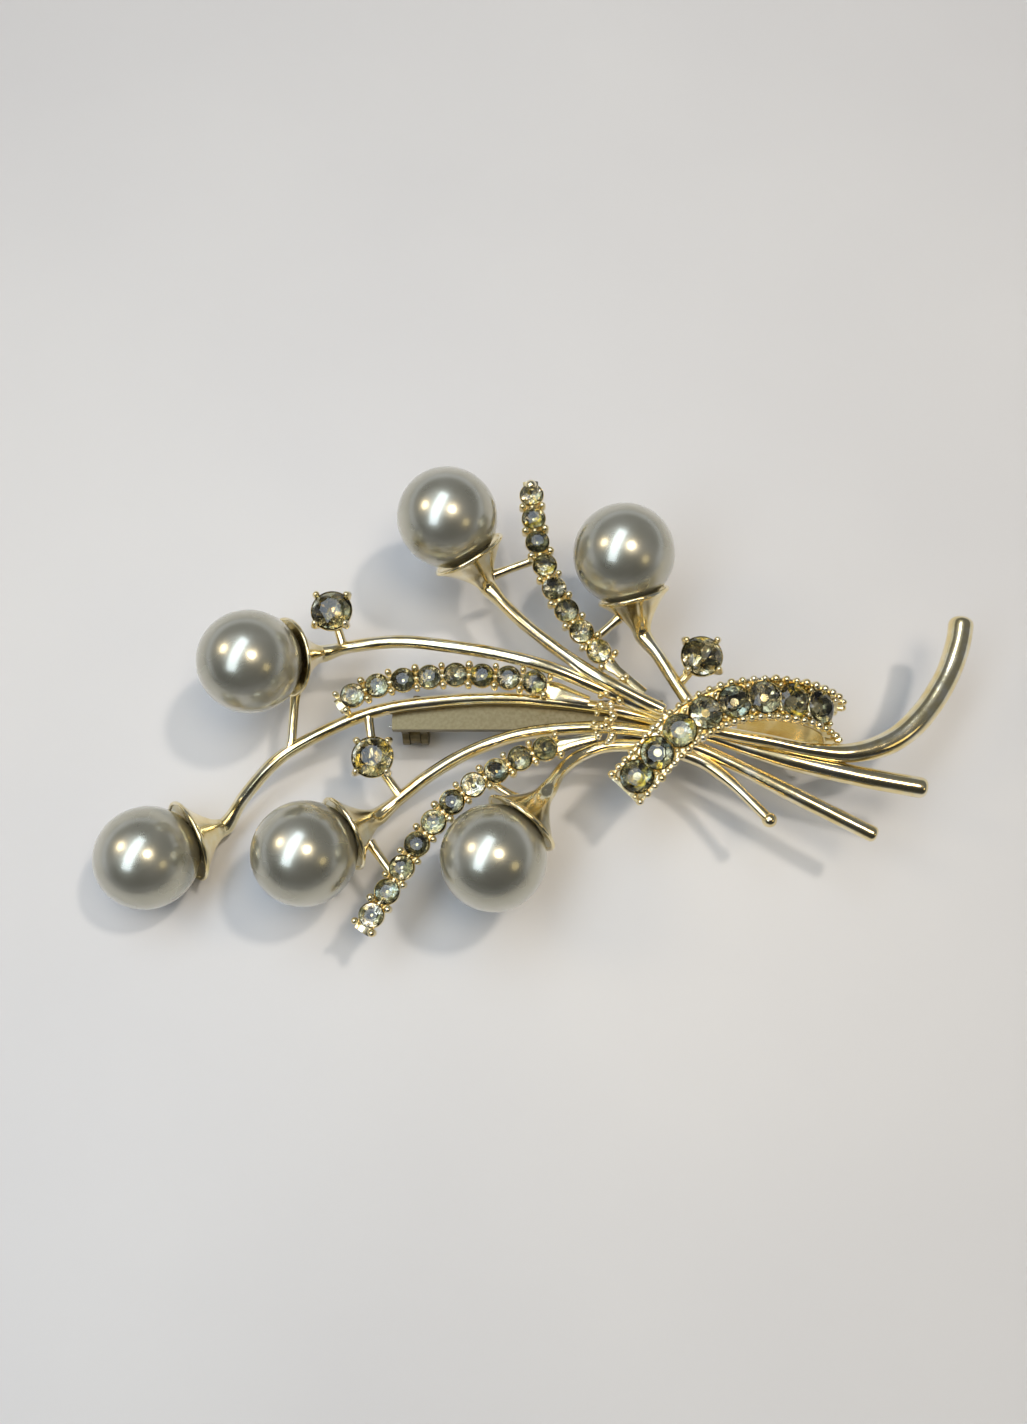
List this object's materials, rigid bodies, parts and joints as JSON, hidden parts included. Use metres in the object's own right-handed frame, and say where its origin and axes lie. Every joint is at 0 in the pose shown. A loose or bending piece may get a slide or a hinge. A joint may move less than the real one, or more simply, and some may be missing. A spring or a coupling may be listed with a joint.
{
  "type": "brooch",
  "caption": "Gold-toned spray brooch: grey pearls in flared cups on wire stems, smoky stone sprigs and a stone-set ribbon tied over the knot, with a hinged pin and turning safety lock.",
  "frame": {"origin": "centre of the brooch's box in plan, on the surface that it lies on face up", "axes": "+X from the lowest pearl's end towards the tips of the tails, +Y towards the two upper pearls, +Z out of the brooch's face, towards the viewer"},
  "size_m": [0.086, 0.0462, 0.017],
  "materials": {
    "gold_plate": "pale gold plating, polished",
    "pearl_coat": "grey pearl lacquer, glossy",
    "smoky_glass": "smoky faceted glass with a foiled back",
    "pin_steel": "drawn wire, polished"
  },
  "bodies": {
    "spray": {"stem_1": "gold_plate", "stem_2": "gold_plate", "stem_3": "gold_plate", "stem_4": "gold_plate", "stem_5": "gold_plate", "stem_6": "gold_plate", "sprig_1": "gold_plate", "sprig_2": "gold_plate", "sprig_3": "gold_plate", "ribbon": "gold_plate", "collet_1": "gold_plate", "collet_2": "gold_plate", "collet_3": "gold_plate", "pin_back_bar": "gold_plate", "hinge_rivet": "gold_plate", "pearl_1": "pearl_coat", "pearl_2": "pearl_coat", "pearl_3": "pearl_coat", "pearl_4": "pearl_coat", "pearl_5": "pearl_coat", "pearl_6": "pearl_coat", "sprig_1_stone_01": "smoky_glass", "sprig_1_stone_02": "smoky_glass", "sprig_1_stone_03": "smoky_glass", "sprig_1_stone_04": "smoky_glass", "sprig_1_stone_05": "smoky_glass", "sprig_1_stone_06": "smoky_glass", "sprig_1_stone_07": "smoky_glass", "sprig_1_stone_08": "smoky_glass", "sprig_2_stone_01": "smoky_glass", "sprig_2_stone_02": "smoky_glass", "sprig_2_stone_03": "smoky_glass", "sprig_2_stone_04": "smoky_glass", "sprig_2_stone_05": "smoky_glass", "sprig_2_stone_06": "smoky_glass", "sprig_2_stone_07": "smoky_glass", "sprig_2_stone_08": "smoky_glass", "sprig_3_stone_01": "smoky_glass", "sprig_3_stone_02": "smoky_glass", "sprig_3_stone_03": "smoky_glass", "sprig_3_stone_04": "smoky_glass", "sprig_3_stone_05": "smoky_glass", "sprig_3_stone_06": "smoky_glass", "sprig_3_stone_07": "smoky_glass", "sprig_3_stone_08": "smoky_glass", "sprig_3_stone_09": "smoky_glass", "sprig_3_stone_10": "smoky_glass", "ribbon_stone_1": "smoky_glass", "ribbon_stone_2": "smoky_glass", "ribbon_stone_3": "smoky_glass", "ribbon_stone_4": "smoky_glass", "ribbon_stone_5": "smoky_glass", "ribbon_stone_6": "smoky_glass", "ribbon_stone_7": "smoky_glass", "ribbon_stone_8": "smoky_glass", "single_stone_1": "smoky_glass", "single_stone_2": "smoky_glass", "single_stone_3": "smoky_glass"},
    "pin": {"pin_stem": "pin_steel"},
    "lock": {"safety_lock": "gold_plate"}
  },
  "joints": [
    {"name": "pin_hinge", "type": "hinge", "parent": "spray", "child": "pin", "pos_m": [0.01038, -0.00108, 0.0019], "axis": [0, -1, 0], "range_deg": [0, 100]},
    {"name": "lock_turn", "type": "hinge", "parent": "spray", "child": "lock", "pos_m": [-0.01262, -0.00108, 0.0019], "axis": [1, 0, 0], "range_deg": [0, 120]}
  ]
}
